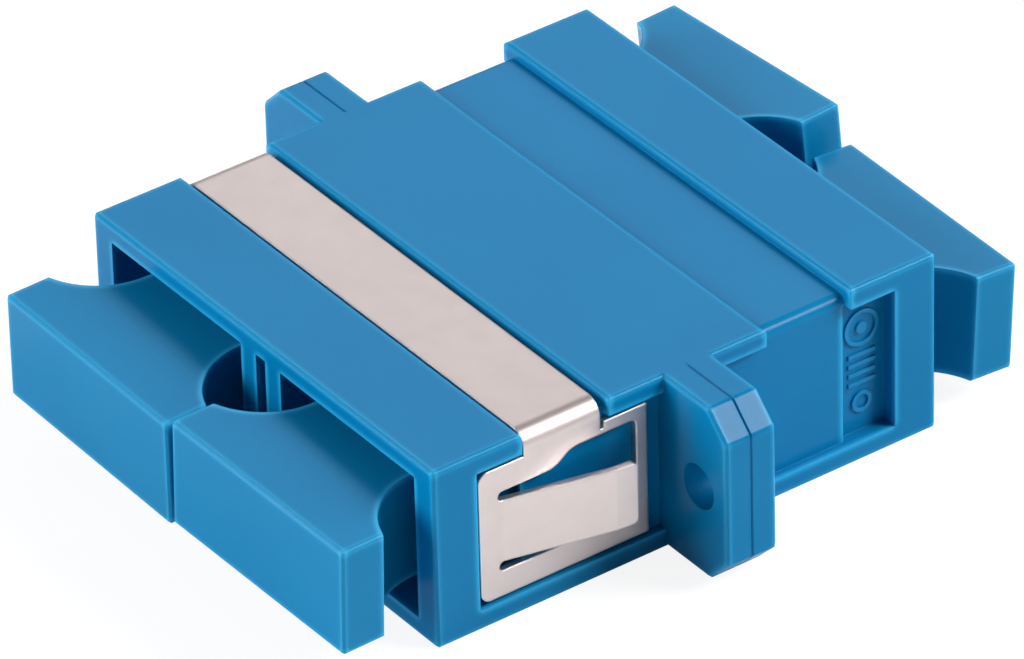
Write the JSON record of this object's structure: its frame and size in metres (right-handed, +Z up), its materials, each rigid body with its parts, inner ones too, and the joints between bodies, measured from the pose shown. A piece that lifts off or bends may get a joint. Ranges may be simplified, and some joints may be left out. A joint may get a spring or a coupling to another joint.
{
  "type": "sc duplex fibre adapter",
  "caption": "Flanged duplex SC fibre coupler with welded half housings, a spring mounting clip, inner latch hooks, split alignment sleeves and pull-off dust caps.",
  "frame": {"origin": "centre of the weld plane, on the line between the two flange holes", "axes": "+X across the two channels, +Y along the fibres towards the rear mouths, +Z up from the underside"},
  "size_m": [0.0348, 0.038, 0.0094],
  "materials": {
    "housing": "satin moulded PBT",
    "clip": "satin rolled spring steel",
    "insert": "natural moulded PBT",
    "sleeve": "ground zirconia",
    "cap": "satin moulded polyethylene"
  },
  "bodies": {
    "adapter": {"front_housing": "housing", "rear_housing": "housing", "mounting_clip": "clip", "front_left_latch_insert": "insert", "front_right_latch_insert": "insert", "rear_left_latch_insert": "insert", "rear_right_latch_insert": "insert", "left_alignment_sleeve": "sleeve", "right_alignment_sleeve": "sleeve"},
    "front_left_dust_cap": {"front_left_dust_cap": "cap"},
    "front_right_dust_cap": {"front_right_dust_cap": "cap"},
    "rear_left_dust_cap": {"rear_left_dust_cap": "cap"},
    "rear_right_dust_cap": {"rear_right_dust_cap": "cap"}
  },
  "joints": [
    {"name": "front_left_cap_pull", "type": "slide", "parent": "adapter", "child": "front_left_dust_cap", "axis": [0, -1, 0], "range_m": [0, 0.012]},
    {"name": "front_right_cap_pull", "type": "slide", "parent": "adapter", "child": "front_right_dust_cap", "axis": [0, -1, 0], "range_m": [0, 0.012]},
    {"name": "rear_left_cap_pull", "type": "slide", "parent": "adapter", "child": "rear_left_dust_cap", "axis": [0, 1, 0], "range_m": [0, 0.012]},
    {"name": "rear_right_cap_pull", "type": "slide", "parent": "adapter", "child": "rear_right_dust_cap", "axis": [0, 1, 0], "range_m": [0, 0.012]}
  ]
}
